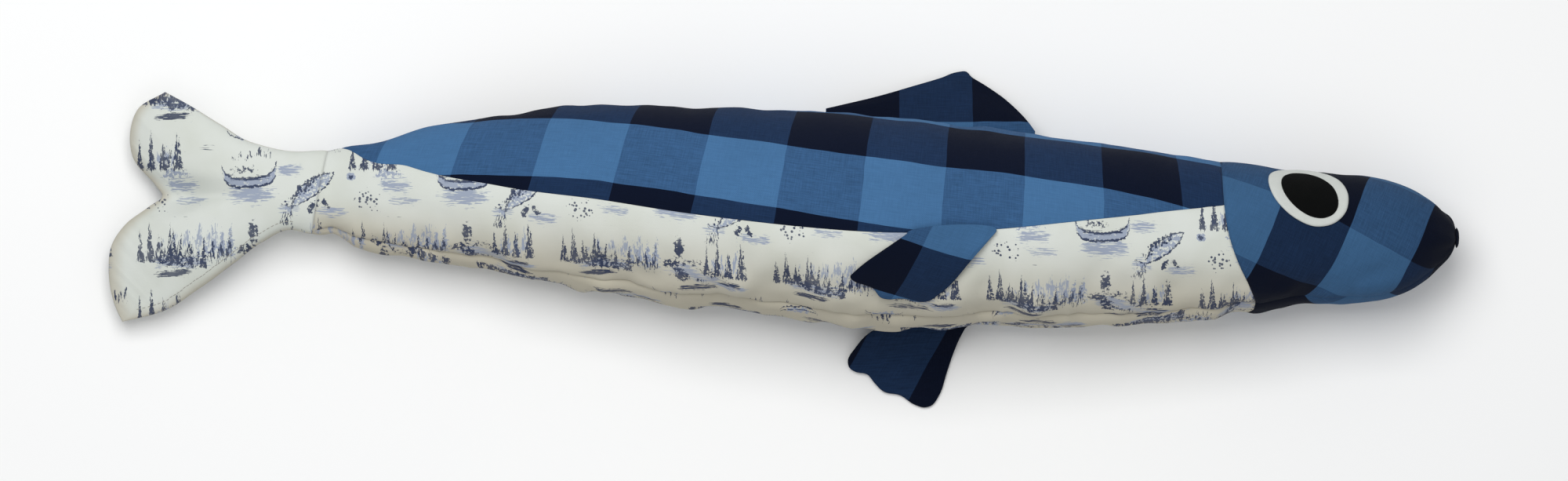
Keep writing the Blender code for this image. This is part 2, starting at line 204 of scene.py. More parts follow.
def grid_faces(columns, rows):
    """The corner numbers of a grid's quads, with points numbered row by row."""
    corner = np.arange((columns + 1) * (rows + 1)).reshape(columns + 1, rows + 1)
    return np.stack([corner[:-1, :-1], corner[1:, :-1], corner[1:, 1:], corner[:-1, 1:]],
                    axis=-1).reshape(-1, 4)


def shape(name, points, faces):
    """A smooth piece at the origin, from its points and the corner numbers of its faces."""
    mesh = bpy.data.meshes.new(name)
    mesh.from_pydata(points.reshape(-1, 3).tolist(), [], faces.tolist())
    mesh.shade_smooth()
    piece = bpy.data.objects.new(name, mesh)
    bpy.context.scene.collection.objects.link(piece)
    return piece


def sew(name, points, chart, flip=False, wall=COTTON, wear_and_painted_shade=None):
    """One piece of cloth from a grid of points and its cloth coordinates: quads between
    the points, smooth shading, a UV map, and a wall of the cloth's thickness inwards. A
    share of painted shade at each point makes a second map."""
    faces = grid_faces(points[0].shape[0] - 1, points[0].shape[1] - 1)
    if flip:
        faces = faces[:, ::-1]
    piece = shape(name, np.stack(points, axis=-1), faces)
    mesh = piece.data
    charts = {"Cloth": chart} if wear_and_painted_shade is None else {"Cloth": chart, "PaintedShade": (wear_and_painted_shade, wear_and_painted_shade)}
    for map_name, places in charts.items():
        layer = mesh.uv_layers.new(name=map_name)
        corners = np.stack(places, axis=-1).reshape(-1, 2)[faces.ravel()]
        layer.data.foreach_set("uv", corners.ravel())
    joined = bmesh.new()
    joined.from_mesh(mesh)
    bmesh.ops.remove_doubles(joined, verts=joined.verts, dist=0.000002)
    joined.to_mesh(mesh)
    joined.free()
    if wall:
        thick = piece.modifiers.new("cloth", "SOLIDIFY")
        thick.thickness, thick.offset = wall, -1.0
    return piece


def unit_grid(columns, rows):
    """Two arrays that run from 0 to 1 along a grid's columns and rows."""
    return np.meshgrid(np.linspace(0, 1, columns + 1), np.linspace(0, 1, rows + 1),
                       indexing="ij")


def crowded(v):
    """The same share with its steps closer together at both ends, near the seams."""
    return v - 0.09 * np.sin(2 * pi * v)


def trunk_grid(u, v, start_turn, end_turn, flank):
    """The x and turn of a panel between two seams, from the tail seam to the head seam."""
    x = TAIL_SEAM_X + u * (HEAD_SEAM_X - TAIL_SEAM_X)
    for _ in range(4):
        turn = start_turn(x) + v * (end_turn(x) - start_turn(x))
        start = tail_seam(flank * turn - ROLL)
        x = start + u * (head_seam(turn) - start)
    return x, turn


# How the check lies on the back: a light row starts this far above the flank's top line.
CHECK_WIDE, CHECK_HIGH = 0.0522, 0.0460
FIRST_COLUMN_X = -0.2067
ROW_START = np.array([(-0.31, 0.0120), (-0.16, 0.0122), (-0.05, 0.0070), (0.06, -0.0015),
                      (0.16, -0.0080), (0.27, -0.0265), (0.33, -0.0420)])


def back_chart(x, turn):
    """Check units on the back: the columns lean towards the head near the tail and stand
    straight near the head; the rows follow the line where a light row starts."""
    up = round_from_top(x, turn)
    row = up - smooth(ROW_START, 1, x)
    lean = 0.15 - 0.75 * x
    return (x - FIRST_COLUMN_X - lean * (row - CHECK_HIGH)) / CHECK_WIDE, row / CHECK_HIGH + 1


class Nodes:
    """Short ways to add shader nodes to one material and join them up."""

    def __init__(self, name):
        self.material = bpy.data.materials.new(name)
        self.material.use_nodes = True
        self.tree = self.material.node_tree
        self.shader = self.tree.nodes["Principled BSDF"]

    def add(self, kind, inputs=None, **settings):
        node = self.tree.nodes.new("ShaderNode" + kind)
        for key, value in settings.items():
            setattr(node, key, value)
        for key, value in (inputs or {}).items():
            if isinstance(value, bpy.types.NodeSocket):
                self.tree.links.new(value, node.inputs[key])
            else:
                node.inputs[key].default_value = value
        return node

    def math(self, operation, *values, clamp=False):
        return self.add("Math", dict(enumerate(values)), operation=operation,
                        use_clamp=clamp).outputs[0]

    def times(self, *values, clamp=False):
        return self.math("MULTIPLY", *values, clamp=clamp)

    def plus(self, *values):
        return self.math("ADD", *values)

    def minus(self, *values):
        return self.math("SUBTRACT", *values)

    def ramp(self, value, gain, start):
        """The value times a gain, from a start."""
        return self.math("MULTIPLY_ADD", value, gain, start)

    def mix(self, share, one, other):
        return self.add("Mix", {0: share, 6: one, 7: other}, data_type="RGBA").outputs[2]

    def noise(self, vector, scale, detail=2.0, rough=0.5):
        return self.add("TexNoise", {"Vector": vector, "Scale": scale, "Detail": detail,
                                     "Roughness": rough}).outputs[0]

    def stretch(self, vector, scale):
        return self.add("Mapping", {"Vector": vector, "Scale": scale}).outputs[0]

    def split(self, vector):
        return self.add("SeparateXYZ", {0: vector}).outputs

    def chart_of(self, name):
        return self.add("UVMap", uv_map=name).outputs[0]

    def place(self):
        return self.add("TexCoord").outputs["Object"]

    def plain_weave(self, parts, pitch, slub, loft):
        """Warp and weft crossed as two sines over each other, with slubs that stand up."""
        warp = self.math("SINE", self.times(parts[0], pitch))
        weft = self.math("SINE", self.times(parts[1], pitch))
        return self.plus(self.times(warp, weft), self.times(slub, loft))

    def between(self, value, low, high):
        """0 below low, 1 above high, smooth between."""
        return self.add("MapRange", {0: value, 1: low, 2: high},
                        interpolation_type="SMOOTHSTEP").outputs[0]

    def cloth(self, colour, height, strength, distance=0.0004, roughness=0.94, sheen=0.02):
        """A matte cloth: its colour, a bump from its height, and the sheen of loose fibre."""
        bump = self.add("Bump", {"Height": height, "Strength": strength, "Distance": distance})
        self.tree.links.new(colour, self.shader.inputs["Base Color"])
        self.tree.links.new(bump.outputs[0], self.shader.inputs["Normal"])
        finish = {"Roughness": roughness, "Specular IOR Level": 0.08, "Sheen Weight": sheen,
                  "Sheen Roughness": 0.5}
        for socket, value in finish.items():
            self.shader.inputs[socket].default_value = value
        return self.material


def linear(red, green, blue):
    """A colour given in the usual 0 to 255 steps, as light."""
    value = np.array([red, green, blue]) / 255.0
    light = np.where(value <= 0.04045, value / 12.92, ((value + 0.055) / 1.055) ** 2.4)
    return (*light.tolist(), 1.0)


YARNS_PER_CHECK = 116.0


def check_cotton(name, painted_shade_scale=1.0):
    """Yarn-dyed buffalo check on the cloth's own coordinates, in checks: light and dark
    columns cross light and dark rows, the rows showing the more; slubs run along both
    yarns, and a plain weave stands up in the bump."""
    make = Nodes(name)
    cloth = make.chart_of("Cloth")
    wander = make.noise(cloth, 1.3, 2.0)
    parts = make.split(cloth)
    across = make.plus(parts[0], make.ramp(wander, 0.05, -0.025))
    along = make.plus(parts[1], make.ramp(wander, -0.05, 0.025))
    light_column = make.math("FLOORED_MODULO", make.math("FLOOR", across), 2.0)
    light_row = make.math("FLOORED_MODULO", make.math("FLOOR", along), 2.0)
    dark_row = make.mix(light_column, linear(10, 18, 37), linear(28, 48, 78))
    bright_row = make.mix(light_column, linear(54, 88, 127), linear(68, 109, 151))
    colour = make.mix(light_row, dark_row, bright_row)
    weft_slub = make.noise(make.stretch(cloth, (4.0, 70.0, 1.0)), 1.0, 3.0, 0.6)
    warp_slub = make.noise(make.stretch(cloth, (70.0, 4.0, 1.0)), 1.0, 3.0, 0.6)
    slub = make.plus(make.times(weft_slub, 0.6), make.times(warp_slub, 0.4))
    mixed = make.math("ABSOLUTE", make.minus(light_column, light_row))
    strength = make.ramp(mixed, 0.9, 0.7)
    heather = make.times(make.minus(slub, 0.5), strength)
    heather = make.plus(heather, 1.0)
    wear_and_painted_shade = make.noise(cloth, 0.8, 3.0)
    # Tone: random wear of the cloth, times the shade scale, which makes darker copies of the check
    # stand for painted shade.
    tone = make.times(heather, make.ramp(wear_and_painted_shade, 0.24, 0.88 * painted_shade_scale))
    tinted = make.add("VectorMath", {0: colour, 3: tone}, operation="SCALE").outputs[0]
    weave = make.plain_weave(parts, YARNS_PER_CHECK * pi, slub, 2.5)
    return make.cloth(tinted, weave, 0.35)


CHECK = check_cotton("check_cotton")
# Painted shade: the head's check is the same cloth made darker, standing in for the shade on the
# head where it slopes away from the light.
SHADED_HEAD_CHECK = check_cotton("head_check_cotton_painted_shade", 0.66)
FLANKS = ((1, "right"), (-1, "left"))


def dress(piece, material, nodes):
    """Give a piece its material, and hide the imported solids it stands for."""
    piece.data.materials.append(material)
    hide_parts(*nodes)


u, v = unit_grid(400, 96)
for flank, side in FLANKS:
    x, turn = trunk_grid(u, crowded(v), np.zeros_like, side_seam, flank)
    back = sew(f"back_cloth_{side}", skin(x, turn, flank), back_chart(x, turn), flank > 0)
    dress(back, CHECK, [f"back_panel_{side}"])
    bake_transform(back)


# ---- Belly panels ---------------------------------------------------------
# Two panels of cream cotton printed in blue-grey with a lakeside scene: spruces, hills, a
# canoe, a leaping fish and ripples. They are sewn to the back panels at the sides and to
# each other under the belly, where the cloth puckers most. Where the cloth turns under, the
# cream is painted a darker warm tan as painted shade.
PRINT_REPEAT, PRINT_ROWS, YARN_PITCH = 0.1410, 0.1050, 0.00045
BELLY_PRINT_X, BELLY_PRINT_Y, BELLY_PRINT_SLOPE = 0.2605, 0.0360, 0.02
CREAM = linear(214, 218, 212)
INK, WASH = linear(40, 52, 82), linear(142, 153, 176)

SPRUCES = [(0.0, 0.0), (0.04, 0.12), (0.08, 0.45), (0.11, 0.8), (0.14, 0.4), (0.18, 0.12),
           (0.22, 0.05), (0.26, 0.15), (0.31, 0.55), (0.34, 1.0), (0.37, 0.5), (0.42, 0.15),
           (0.47, 0.06), (0.51, 0.2), (0.55, 0.5), (0.58, 0.72), (0.61, 0.42), (0.66, 0.12),
           (0.72, 0.05), (0.78, 0.2), (0.83, 0.6), (0.86, 0.92), (0.89, 0.55), (0.94, 0.18),
           (1.0, 0.0)]
THICKET = [(0.0, 0.0), (0.05, 0.35), (0.12, 0.2), (0.18, 0.55), (0.25, 0.3), (0.33, 0.72),
           (0.4, 0.38), (0.5, 0.8), (0.56, 0.45), (0.66, 0.9), (0.72, 0.5),
           (0.84, 1.0), (0.92, 0.45), (1.0, 0.0)]
PEAKS = [(0.0, 0.3), (0.12, 0.42), (0.3, 0.9), (0.36, 1.0), (0.45, 0.72), (0.55, 0.8),
         (0.7, 0.5), (0.8, 0.6), (1.0, 0.3)]
PEAK_FOOT = [(0.0, 0.3), (0.2, 0.34), (0.34, 0.66), (0.42, 0.42), (0.52, 0.62),
             (0.66, 0.36), (0.78, 0.48), (1.0, 0.3)]
HILL = [(0.0, 0.3), (0.15, 0.62), (0.35, 0.95), (0.5, 0.8), (0.7, 0.72), (0.86, 0.5),
        (1.0, 0.3)]
HILL_FOOT = [(0.0, 0.3), (0.2, 0.22), (0.4, 0.38), (0.62, 0.1), (0.85, 0.26),
             (1.0, 0.3)]
GUNWALE = [(0.0, 1.0), (0.06, 0.7), (0.2, 0.55), (0.5, 0.48), (0.8, 0.55),
           (0.94, 0.72), (1.0, 1.0)]
KEEL = [(0.0, 1.0), (0.03, 0.45), (0.12, 0.24), (0.3, 0.16), (0.7, 0.16), (0.88, 0.24),
        (0.97, 0.45), (1.0, 1.0)]
FISH_BACK = [(0.0, 0.5), (0.03, 0.86), (0.12, 0.56), (0.3, 0.74), (0.42, 0.95),
             (0.55, 0.86), (0.8, 0.78), (0.94, 0.62), (1.0, 0.5)]
FISH_BELLY = [(0.0, 0.5), (0.03, 0.14), (0.12, 0.44), (0.32, 0.3), (0.55, 0.22),
              (0.8, 0.28), (0.92, 0.4), (1.0, 0.5)]
OVAL_TOP = [(0.0, 0.5), (0.06, 0.74), (0.25, 0.94), (0.5, 1.0), (0.75, 0.94),
            (0.94, 0.74), (1.0, 0.5)]
OVAL_LOW = [(x, 1.0 - y) for x, y in OVAL_TOP]
GROUND = [(0.0, 0.0), (1.0, 0.0)]
WOOD, SCRUB, MOUND, BANK = (SPRUCES, GROUND), (THICKET, GROUND), (HILL, GROUND), (HILL, HILL_FOOT)
RANGE, CANOE = (PEAKS, PEAK_FOOT), (GUNWALE, KEEL)
FISH, OVAL = (FISH_BACK, FISH_BELLY), (OVAL_TOP, OVAL_LOW)


class Print(Nodes):
    """The lakeside print. Each motif is a window on the repeat, w by h about a middle
    (millimetres), filled between two outlines drawn as curves over the window's width."""

    def start(self, chart_name):
        self.chart = self.chart_of(chart_name)
        parts = self.split(self.chart)
        rough = self.add("TexNoise", {"Vector": self.chart, "Scale": 520.0,
                                      "Detail": 2.0}).outputs[1]
        hand = self.split(rough)
        self.wide, self.tall = PRINT_REPEAT * 1000, PRINT_ROWS * 1000
        self.x, self.y = (self.plus(self.times(parts[k], 1000.0), self.ramp(hand[k], 2.4, -1.2))
                          for k in (0, 1))
        self.hatch = self.noise(self.stretch(self.chart, (90.0, 1050.0, 1.0)), 1.0, 2.0, 0.7)
        self.strokes = self.noise(self.stretch(self.chart, (900.0, 160.0, 1.0)), 1.0, 2.0, 0.7)
        self.brush = self.noise(self.chart, 420.0, 3.0, 0.7)

    def window(self, middle_x, middle_y, wide, tall, tilt):
        """The window's own coordinates, 0 to 1 across and up, turned by a tilt in degrees."""
        shift_x = self.math("WRAP", self.minus(self.x, middle_x), self.wide / 2, -self.wide / 2)
        shift_y = self.math("WRAP", self.minus(self.y, middle_y), self.tall / 2, -self.tall / 2)
        cos, sin = np.cos(np.radians(tilt)), np.sin(np.radians(tilt))
        across = self.plus(self.times(shift_x, cos / wide), self.ramp(shift_y, sin / wide, 0.5))
        up = self.plus(self.times(shift_y, cos / tall), self.ramp(shift_x, -sin / tall, 0.5))
        return across, up

    def line(self, across, points):
        """The height of an outline at a place across its window."""
        node = self.add("FloatCurve", {1: across})
        curve = node.mapping.curves[0]
        for place, height in points[1:-1]:
            curve.points.new(place, height)
        curve.points[0].location, curve.points[-1].location = points[0], points[-1]
        for point in curve.points:
            point.handle_type = "VECTOR"
        node.mapping.update()
        return node.outputs[0]

    def fill(self, spot, top, low, soft=0.05):
        """1 between the two outlines of a window, 0 outside."""
        across, up = spot
        over = self.between(self.minus(self.line(across, top), up), 0.0, soft)
        under = self.between(self.minus(up, self.line(across, low)), 0.0, soft)
        taper = soft * 0.6
        ends = self.times(self.between(across, 0.0, taper), self.between(across, 1.0, 1.0 - taper))
        return self.times(self.times(over, under), ends)

    def rim(self, spot, top, low, width):
        """A drawn line along both outlines of a window."""
        outer = self.fill(spot, top, low)
        across, up = spot
        near_top = self.minus(self.line(across, top), up)
        near_low = self.minus(up, self.line(across, low))
        edge = self.between(self.math("MINIMUM", near_top, near_low), width, width * 0.4)
        return self.times(outer, edge)

    def darker(self, ink, mask, texture, cut, most):
        """Lay a mask over the ink so far, broken up where its texture is under the cut, and
        the more so the nearer the mask's own edge, which leaves it ragged."""
        lifted = self.plus(texture, self.ramp(mask, 0.24, -0.24))
        mark = self.between(lifted, cut - 0.025, cut + 0.025)
        mark = self.times(mark, self.between(mask, 0.0, 0.05))
        return self.math("MAXIMUM", ink, self.times(mark, most))


# Each mark of the print: its middle, width, height and tilt; its outlines; the ink or
# the pale wash; its texture and the share of it that prints. Its strength, and the width
# of a drawn rim, follow where they aren't 1 and none.
MARKS = [
    (6, 4, 54, 27, 0, SCRUB, "wash", "strokes", 0.82, 0.9, 0),
    (24, -1, 34, 29, 0, SCRUB, "wash", "brush", 0.95),
    (-16, -1, 28, 31, 0, WOOD, "ink", "strokes", 0.72),
    (-14, -3, 30, 27, 4, WOOD, "ink", "brush", 0.66),
    (6, -7, 30, 27, -3, WOOD, "ink", "brush", 0.7),
    (-8, -6, 46, 24, 0, SCRUB, "ink", "strokes", 0.64),
    (23, -5, 34, 26, 0, SCRUB, "ink", "strokes", 0.8),
    (10, 13, 54, 14, 6, RANGE, "ink", "hatch", 0.62, 0.9, 0),
    (2, -15, 48, 17, 0, OVAL, "ink", "brush", 0.55),
    (0, -15, 56, 16, 0, OVAL, "wash", "hatch", 0.72, 0.9, 0),
    (-4, -23, 30, 7, 4, OVAL, "ink", "hatch", 0.95),
    (15, -12, 32, 14, 12, BANK, "ink", "brush", 0.8),
    (80, 2, 30, 31, 0, WOOD, "ink", "strokes", 0.66),
    (81, 0, 32, 27, 0, WOOD, "ink", "brush", 0.56),
    (78, 0, 30, 26, 0, SCRUB, "wash", "strokes", 0.85),
    (66, -8, 54, 20, -12, BANK, "ink", "brush", 0.8),
    (62, -11, 58, 21, -10, MOUND, "wash", "hatch", 0.78, 0.9, 0),
    (49, -11, 30, 20, -34, BANK, "ink", "brush", 1.1),
    (58, -16, 40, 10, -8, BANK, "ink", "strokes", 0.8),
    (50, 5, 9, 21, 0, OVAL, "ink", "brush", 0.85),
    (84, -19, 30, 11, 3, OVAL, "wash", "hatch", 0.8),
    (84, -17, 22, 7, 3, OVAL, "ink", "hatch", 0.75),
    (62, -24, 40, 10, 6, OVAL, "ink", "hatch", 0.7),
    (48, 41, 37, 21, 4, CANOE, "wash", "brush", 0.85),
    (48, 41, 37, 21, 4, CANOE, "ink", "brush", 1.3, 1.0, 0.09),
    (48, 43, 33, 17, 4, CANOE, "ink", "hatch", 0.34),
    (44, 46, 26, 12, 0, OVAL, "ink", "brush", 0.5),
    (49, 30, 44, 19, 0, OVAL, "wash", "hatch", 0.8),
    (48, 58, 38, 13, 0, SCRUB, "ink", "strokes", 0.66),
    (-54, 31, 40, 18, 40, FISH, "wash", "brush", 0.62),
    (-54, 31, 40, 18, 40, FISH, "ink", "brush", 0.92, 1.0, 0.1),
    (-57, 33, 34, 14, 40, FISH, "ink", "dots", 0.3),
    (-56, 35, 30, 9, 40, FISH, "ink", "strokes", 0.45),
    (-69, 17, 9, 17, -20, SCRUB, "ink", "strokes", 0.9),
    (-52, 21, 12, 6, 64, OVAL, "ink", "brush", 0.85),
    (-45, 22, 12, 6, 118, OVAL, "ink", "brush", 0.75),
    (-67, 20, 22, 19, 0, OVAL, "wash", "hatch", 0.5, 0.9, 0),
    (-41, 17, 30, 14, 0, OVAL, "wash", "hatch", 0.62),
    (-2, 45, 28, 14, 6, MOUND, "wash", "brush", 0.75),
    (-2, 46, 28, 13, 6, BANK, "ink", "brush", 0.62),
    (-8, 55, 7, 20, -8, SCRUB, "ink", "brush", 1.0),
    (2, 36, 30, 14, 0, OVAL, "wash", "hatch", 0.76),
    (8, 26, 30, 12, 0, OVAL, "wash", "hatch", 0.6, 0.9, 0),
    (75, 46, 26, 14, 0, OVAL, "wash", "hatch", 0.68),
    (-28, 41, 7, 6, 0, OVAL, "wash", "brush", 1.4),
    (-28, 41, 5, 5, 0, OVAL, "ink", "brush", 0.9),
    (-16, 25, 28, 29, 0, OVAL, "ink", "dots", 0.3),
    (14, 74, 48, 21, -2, RANGE, "wash", "brush", 0.62),
    (14, 75, 48, 21, -2, RANGE, "ink", "strokes", 0.48),
    (-14, 60, 34, 32, 0, WOOD, "ink", "strokes", 0.66),
    (-13, 59, 36, 28, 0, WOOD, "ink", "brush", 0.56),
    (-14, 57, 36, 24, 0, SCRUB, "wash", "strokes", 0.8),
    (16, 60, 42, 15, 14, BANK, "ink", "hatch", 0.5),
    (-44, 70, 22, 22, 0, SCRUB, "ink", "strokes", 0.75),
    (44, 70, 24, 11, -10, OVAL, "wash", "brush", 0.8),
    (44, 70, 26, 12, -10, CANOE, "ink", "brush", 0.9, 1.0, 0.12),
]


def lakeside_print(name):
    """Cream cotton with the lakeside print in two strengths of ink, and a plain weave. The
    cloth is painted a darker warm tan, as painted shade, where its second map says that it turns
    under."""
    make = Print(name)
    make.start("Cloth")
    layers = {"ink": make.plus(0.0, 0.0), "wash": make.plus(0.0, 0.0)}
    dots = make.add("TexVoronoi", {"Vector": make.chart, "Scale": 420.0}).outputs[0]
    textures = {"brush": make.brush, "hatch": make.hatch, "strokes": make.strokes,
                "dots": make.ramp(dots, -0.5, 0.76)}
    for mark in MARKS:
        motif, layer, texture, share, most, rim = (*mark[5:], 1.0, 0)[:6]
        spot = make.window(*mark[:5])
        soft = 0.10 if motif in (WOOD, FISH, CANOE) else 0.45
        mask = make.rim(spot, *motif, rim) if rim else make.fill(spot, *motif, soft)
        cut = 0.5 + (0.5 - share) * 0.32
        layers[layer] = make.darker(layers[layer], mask, textures[texture], cut, most)
    ink, wash = layers["ink"], layers["wash"]
    faded = make.noise(make.chart, 60.0, 2.0)
    ink = make.times(ink, make.ramp(faded, 0.5, 0.70), clamp=True)
    blotch = make.noise(make.chart, 22.0, 3.0)
    ground = make.mix(make.between(blotch, 0.3, 0.75), CREAM, linear(206, 210, 201))
    # Painted shade: where the cloth turns under, the cream turns a darker warm tan, by the share
    # in the second map.
    wear_and_painted_shade = make.split(make.chart_of("PaintedShade"))[0]
    ground = make.mix(wear_and_painted_shade, ground, linear(184, 176, 156))
    printed = make.mix(make.times(wash, 0.85), ground, WASH)
    printed = make.mix(make.times(ink, 0.95), printed, INK)
    slub = make.noise(make.stretch(make.chart, (90.0, 900.0, 1.0)), 1.0, 2.0)
    weave = make.plain_weave(make.split(make.chart), 2 * pi / YARN_PITCH, slub, 2.0)
    return make.cloth(printed, weave, 0.30, roughness=0.88, sheen=0.04)


TOILE = lakeside_print("lakeside_cotton")


def belly_chart(x, turn, flank):
    """Metres on the belly's print: along the body, and up the cloth from the spruces."""
    shift = 0.0 if flank > 0 else PRINT_REPEAT * 0.4
    along = x + BELLY_PRINT_X + shift
    return along, round_from_top(x, turn) + BELLY_PRINT_Y + BELLY_PRINT_SLOPE * x


for flank, side in FLANKS:
    x, turn = trunk_grid(u, crowded(v), side_seam, lambda x: pi + 0 * x, flank)
    # The share of painted shade on the belly: most on the underside, where it turns down to the
    # floor.
    under = ease(0.15, -1.0, np.cos(flank * turn - ROLL)) ** 1.5
    belly = sew(f"belly_cloth_{side}", skin(x, turn, flank), belly_chart(x, turn, flank),
                flank > 0, wear_and_painted_shade=0.85 * under)
    dress(belly, TOILE, [f"belly_panel_{side}"])
    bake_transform(belly)


# ---- Head panels ----------------------------------------------------------
# Two panels of the same check, cut on the bias so that they round the head, and sewn down
# the forehead and under the chin. The seam's end is gathered to a small nub at the nose.
NUB_START, NUB_RADIUS, NUB_LONG, NUB_BACK = 0.92, 0.0072, 0.0035, 0.0020
HEAD_CHECK_HIGH, HEAD_CHECK_WIDE = 0.056, 0.0515


def head_chart(x, turn):
    """Check units on the head, cut crosswise, so the yarns that show the more are those
    that lean 23 degrees and bow forwards; the others fall towards the nose."""
    up = round_from_top(x, turn)
    ahead = x - 0.376
    row = up - 0.007 + 0.55 * ahead + 0.8 * ahead ** 2
    return row / HEAD_CHECK_HIGH, (x - 0.42 * up + 1.5 * up ** 2 - 0.320) / HEAD_CHECK_WIDE


def gathered_nub(u, turn, flank, points):
    """The last rings of the head, carried out into a small round nub past the nose."""
    past = np.clip((u - NUB_START) / (1 - NUB_START), 0, 1)
    middle_y, middle_z = section(NOSE_X - NUB_BACK)[:2]
    angle = flank * turn - ROLL
    round_nub = NUB_RADIUS * np.sqrt(1 - past ** 3)
    nub = (NOSE_X - NUB_BACK + NUB_LONG * past, middle_y + round_nub * np.cos(angle),
           middle_z + round_nub * np.sin(angle))
    share = ease(0.0, 0.45, past)
    return tuple(near + (end - near) * share for near, end in zip(points, nub))


u, v = unit_grid(110, 160)
for flank, side in FLANKS:
    turn = pi * crowded(v)
    start = head_seam(turn)
    x = start + (NOSE_X - start) * np.sin(pi / 2 * u) ** 0.9
    points = gathered_nub(u, turn, flank, skin(x, turn, flank))
    head = sew(f"head_cloth_{side}", points, head_chart(x, turn), flank > 0)
    # The head takes the darker copy of the check, which is painted shade.
    dress(head, SHADED_HEAD_CHECK, [f"head_panel_{side}"])
    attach(head, "body")


# ---- Tail panels ----------------------------------------------------------
# Two forked panels of the printed cotton, sewn round their outline, turned, stuffed softly
# and closed along the lower edge with a row of stitches.
TAIL_LENGTH, TAIL_FLARE_UP, TAIL_FLARE_DOWN = 0.1508, 0.0388, 0.0580
TAIL_REST_DROP, TAIL_RIM, NOTCH_PLACE = 0.0140, 0.0006, 0.455
TAIL_PRINT_X, TAIL_PRINT_Y = 0.404, 0.0010
TAIL_TOP = np.array([(0.0, 0.0), (0.15, -0.03), (0.33, 0.1), (0.5, 0.44),
                     (0.65, 0.79), (0.75, 1.0)])
TAIL_BOTTOM = np.array([(0.0, 0.0), (0.12, -0.06), (0.27, 0.08), (0.42, 0.32),
                        (0.6, 0.63), (0.77, 0.89), (0.94, 1.0)])
TAIL_REAR = np.array([(0.75, 0.0), (0.875, 0.08), (0.905, 0.17), (0.895, 0.28),
                      (0.79, 0.41), (0.762, 0.45), (0.823, 0.5), (0.93, 0.58),
                      (0.985, 0.66), (1.0, 0.8), (0.965, 0.95), (0.94, 1.0)])
tail_y, tail_z, tail_half_high, tail_half_thick = section(np.array(TAIL_SEAM_X))


def rounded(outline, share):
    """The point at a share of an outline's length, on cubics through its corners."""
    run = np.concatenate(([0.0], np.cumsum(np.hypot(*np.diff(outline, axis=0).T))))
    table = np.column_stack((run / run[-1], outline))
    return smooth(table, 1, share), smooth(table, 2, share)


def tail_face(u, v, flank):
    """The tail's face: u from its seam to its rear edge, v from the upper to the lower
    edge. Its outline is blended from the four edges; the two lobes swell either side of a
    crease that runs in from the notch, and the cloth dips at the outline's seam."""
    across = (1 - np.cos(pi * v)) / 2
    tip_up, tip_down = tail_half_high + TAIL_FLARE_UP, -tail_half_high - TAIL_FLARE_DOWN
    place, flare = rounded(TAIL_TOP, u)
    top = (-TAIL_LENGTH * place, tail_half_high + TAIL_FLARE_UP * flare)
    place, flare = rounded(TAIL_BOTTOM, u)
    low = (-TAIL_LENGTH * place, -tail_half_high - TAIL_FLARE_DOWN * flare)
    place, fall = rounded(TAIL_REAR, across)
    rear = (-TAIL_LENGTH * place, tip_up + (tip_down - tip_up) * fall)
    seam_y = tail_half_high * np.cos(pi * v)
    corners_x = -TAIL_LENGTH * u * ((1 - across) * TAIL_TOP[-1, 0] + across * TAIL_BOTTOM[-1, 0])
    corners_y = (1 - u) * seam_y + u * ((1 - across) * tip_up + across * tip_down)
    x = (1 - across) * top[0] + across * low[0] + u * rear[0] - corners_x + TAIL_SEAM_X
    x = x + (tail_seam(pi * v) - TAIL_SEAM_X) * (1 - u) ** 3
    y = (1 - across) * top[1] + across * low[1] + (1 - u) * seam_y + u * rear[1] - corners_y
    crease = np.exp(-((across - NOTCH_PLACE) / 0.10) ** 2) * ease(0.35, 0.98, u)
    plump = np.sin(pi * v) ** 0.62 * np.sqrt(1 - u ** 3.2) * (1 + 0.10 * np.sin(pi * u))
    half = tail_half_thick * (plump + ease(0.12, 0.0, u) * (np.sin(pi * v) - plump))
    half = half * (1 - 0.55 * crease)
    where = (x, y, half)
    rim = np.minimum(np.sin(pi * v) * 0.05, 0.7 * TAIL_LENGTH * (1 - u))
    pucker = gathers(x + y, 0.010, 31) * np.exp(-rim / 0.010) * 0.0014
    swell = 0.0012 * lumps(where, 0.040, 33) + 0.0007 * lumps(where, 0.018, 35)
    swell = (swell - pucker) * ease(0.0, 0.10, u)
    half = np.maximum(half + swell * np.minimum(half / 0.006, 1), 0)
    drawn = TAIL_SEAM_DIP * np.exp(-np.abs(x - tail_seam(pi * v)) / VALLEY_REACH)
    half = np.maximum(half - drawn * np.sin(pi * v), 0) + TAIL_RIM * ease(0.0, 0.06, u)
    y = y - drawn * np.cos(pi * v) * ease(0.12, 0.0, u)
    return x, tail_y + y, tail_z - TAIL_REST_DROP * u ** 1.5 + flank * half


def tail_chart(x, y, flank):
    """Metres on the tail's print, which lies level."""
    return x + TAIL_PRINT_X + (0.0 if flank > 0 else 0.05), y - TAIL_PRINT_Y


u, v = unit_grid(130, 150)
for flank, side in FLANKS:
    spread = 1 - (1 - u) ** 1.3
    points = tail_face(spread, v, flank)
    # The share of painted shade on the tail: along its upper, lower and rear edges, where the
    # cloth turns away.
    under = 0.75 * ease(0.84, 1.0, v) + 0.65 * ease(0.07, 0.0, v)
    under = np.maximum(under, 0.65 * ease(0.93, 1.0, spread))
    tail = sew(f"tail_cloth_{side}", points, tail_chart(points[0], points[1], flank),
               flank < 0, wear_and_painted_shade=under)
    dress(tail, TOILE, [f"tail_panel_{side}"])
    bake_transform(tail)


